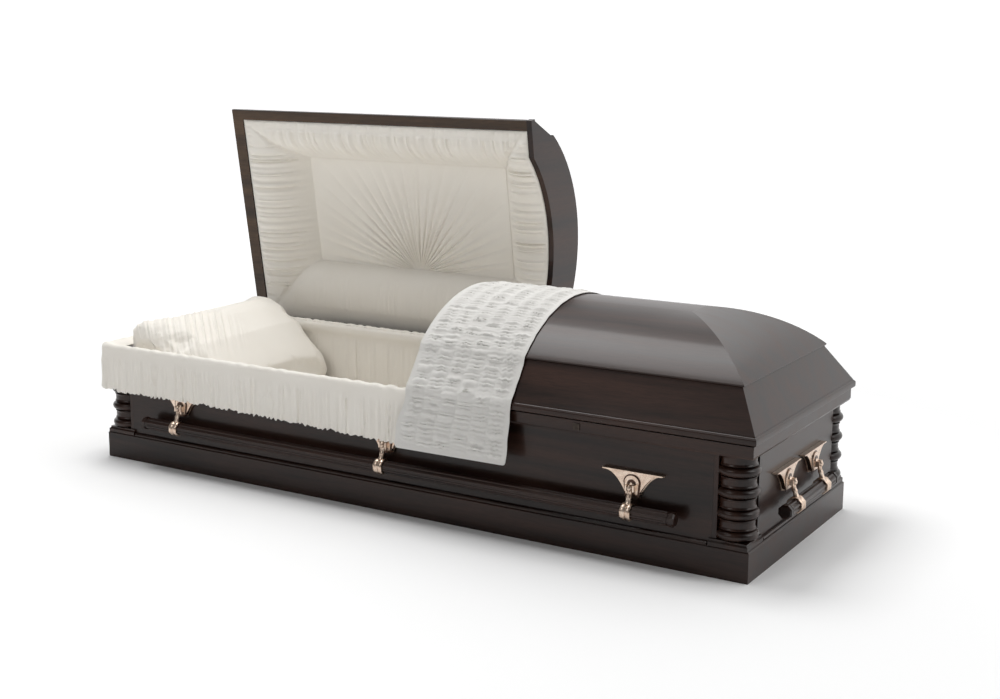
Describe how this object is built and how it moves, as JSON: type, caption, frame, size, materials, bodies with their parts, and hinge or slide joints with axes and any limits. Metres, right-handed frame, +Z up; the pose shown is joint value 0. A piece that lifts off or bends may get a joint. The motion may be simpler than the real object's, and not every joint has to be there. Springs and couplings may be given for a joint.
{
  "type": "funeral casket",
  "caption": "Half-couch wooden funeral casket with an open head lid, pleated cloth interior, swing-bar handles and turned corner columns.",
  "frame": {"origin": "centre of the underside of the bottom board, on the floor plane", "axes": "+X along the length towards the foot end, +Y towards the hinged back, +Z up"},
  "size_m": [2.2252, 1.0101, 1.0603],
  "materials": {
    "walnut": "dark walnut stain under satin lacquer",
    "walnut_bar": "dark walnut stain under satin lacquer",
    "copper": "polished rose copper with dark antique recesses",
    "steel": "dark bronze lacquer",
    "crepe": "ivory crepe, shirred and tufted",
    "throw": "off-white crepe with shirred rows"
  },
  "bodies": {
    "casket_body": {"plinth": "walnut", "bottom_board": "walnut", "top_rail": "walnut", "panel_front": "walnut", "panel_back": "walnut", "panel_head": "walnut", "panel_foot": "walnut", "corner_post_head_front": "walnut", "corner_post_head_back": "walnut", "corner_post_foot_front": "walnut", "corner_post_foot_back": "walnut", "column_foot_front": "walnut", "column_foot_back": "walnut", "column_head_back": "walnut", "column_head_front": "walnut", "body_lining": "crepe", "mattress": "crepe", "pillow": "crepe", "apron": "crepe", "lug_front_1": "copper", "lug_front_2": "copper", "lug_front_3": "copper", "lug_back_1": "copper", "lug_back_2": "copper", "lug_back_3": "copper", "lug_foot_1": "copper", "lug_foot_2": "copper", "lug_head_1": "copper", "lug_head_2": "copper", "latch_plate": "steel", "head_hinge_body_leaf": "steel", "foot_hinge_body_leaf": "steel"},
    "head_lid": {"head_lid_rim": "walnut", "head_lid_skirt": "walnut", "head_lid_crown": "walnut", "head_lid_header": "walnut", "head_lid_roll": "crepe", "head_lid_cap": "crepe", "head_hinge_lid_leaf": "steel"},
    "foot_lid": {"foot_lid_rim": "walnut", "foot_lid_skirt": "walnut", "foot_lid_crown": "walnut", "foot_lid_header": "walnut", "foot_lid_lining": "crepe", "overlay": "throw", "foot_hinge_lid_leaf": "steel"},
    "handle_front": {"arm_front_1": "copper", "arm_front_2": "copper", "arm_front_3": "copper", "bar_front": "walnut_bar"},
    "handle_back": {"arm_back_1": "copper", "arm_back_2": "copper", "arm_back_3": "copper", "bar_back": "walnut_bar"},
    "handle_foot": {"arm_foot_1": "copper", "arm_foot_2": "copper", "bar_foot": "walnut_bar"},
    "handle_head": {"arm_head_1": "copper", "arm_head_2": "copper", "bar_head": "walnut_bar"}
  },
  "joints": [
    {"name": "head_lid_hinge", "type": "hinge", "parent": "casket_body", "child": "head_lid", "pos_m": [0, 0.376, 0.313], "axis": [1, 0, 0], "range_deg": [0, 80.6]},
    {"name": "foot_lid_hinge", "type": "hinge", "parent": "casket_body", "child": "foot_lid", "pos_m": [0, 0.376, 0.313], "axis": [1, 0, 0], "range_deg": [-80.6, 0]},
    {"name": "front_handle_swing", "type": "hinge", "parent": "casket_body", "child": "handle_front", "pos_m": [0, -0.373, 0.197], "axis": [1, 0, 0], "range_deg": [-75, 0]},
    {"name": "back_handle_swing", "type": "hinge", "parent": "casket_body", "child": "handle_back", "pos_m": [0, 0.373, 0.197], "axis": [1, 0, 0], "range_deg": [0, 75]},
    {"name": "foot_handle_swing", "type": "hinge", "parent": "casket_body", "child": "handle_foot", "pos_m": [1.08, 0, 0.197], "axis": [0, 1, 0], "range_deg": [-75, 0]},
    {"name": "head_handle_swing", "type": "hinge", "parent": "casket_body", "child": "handle_head", "pos_m": [-1.08, 0, 0.197], "axis": [0, 1, 0], "range_deg": [0, 75]}
  ]
}
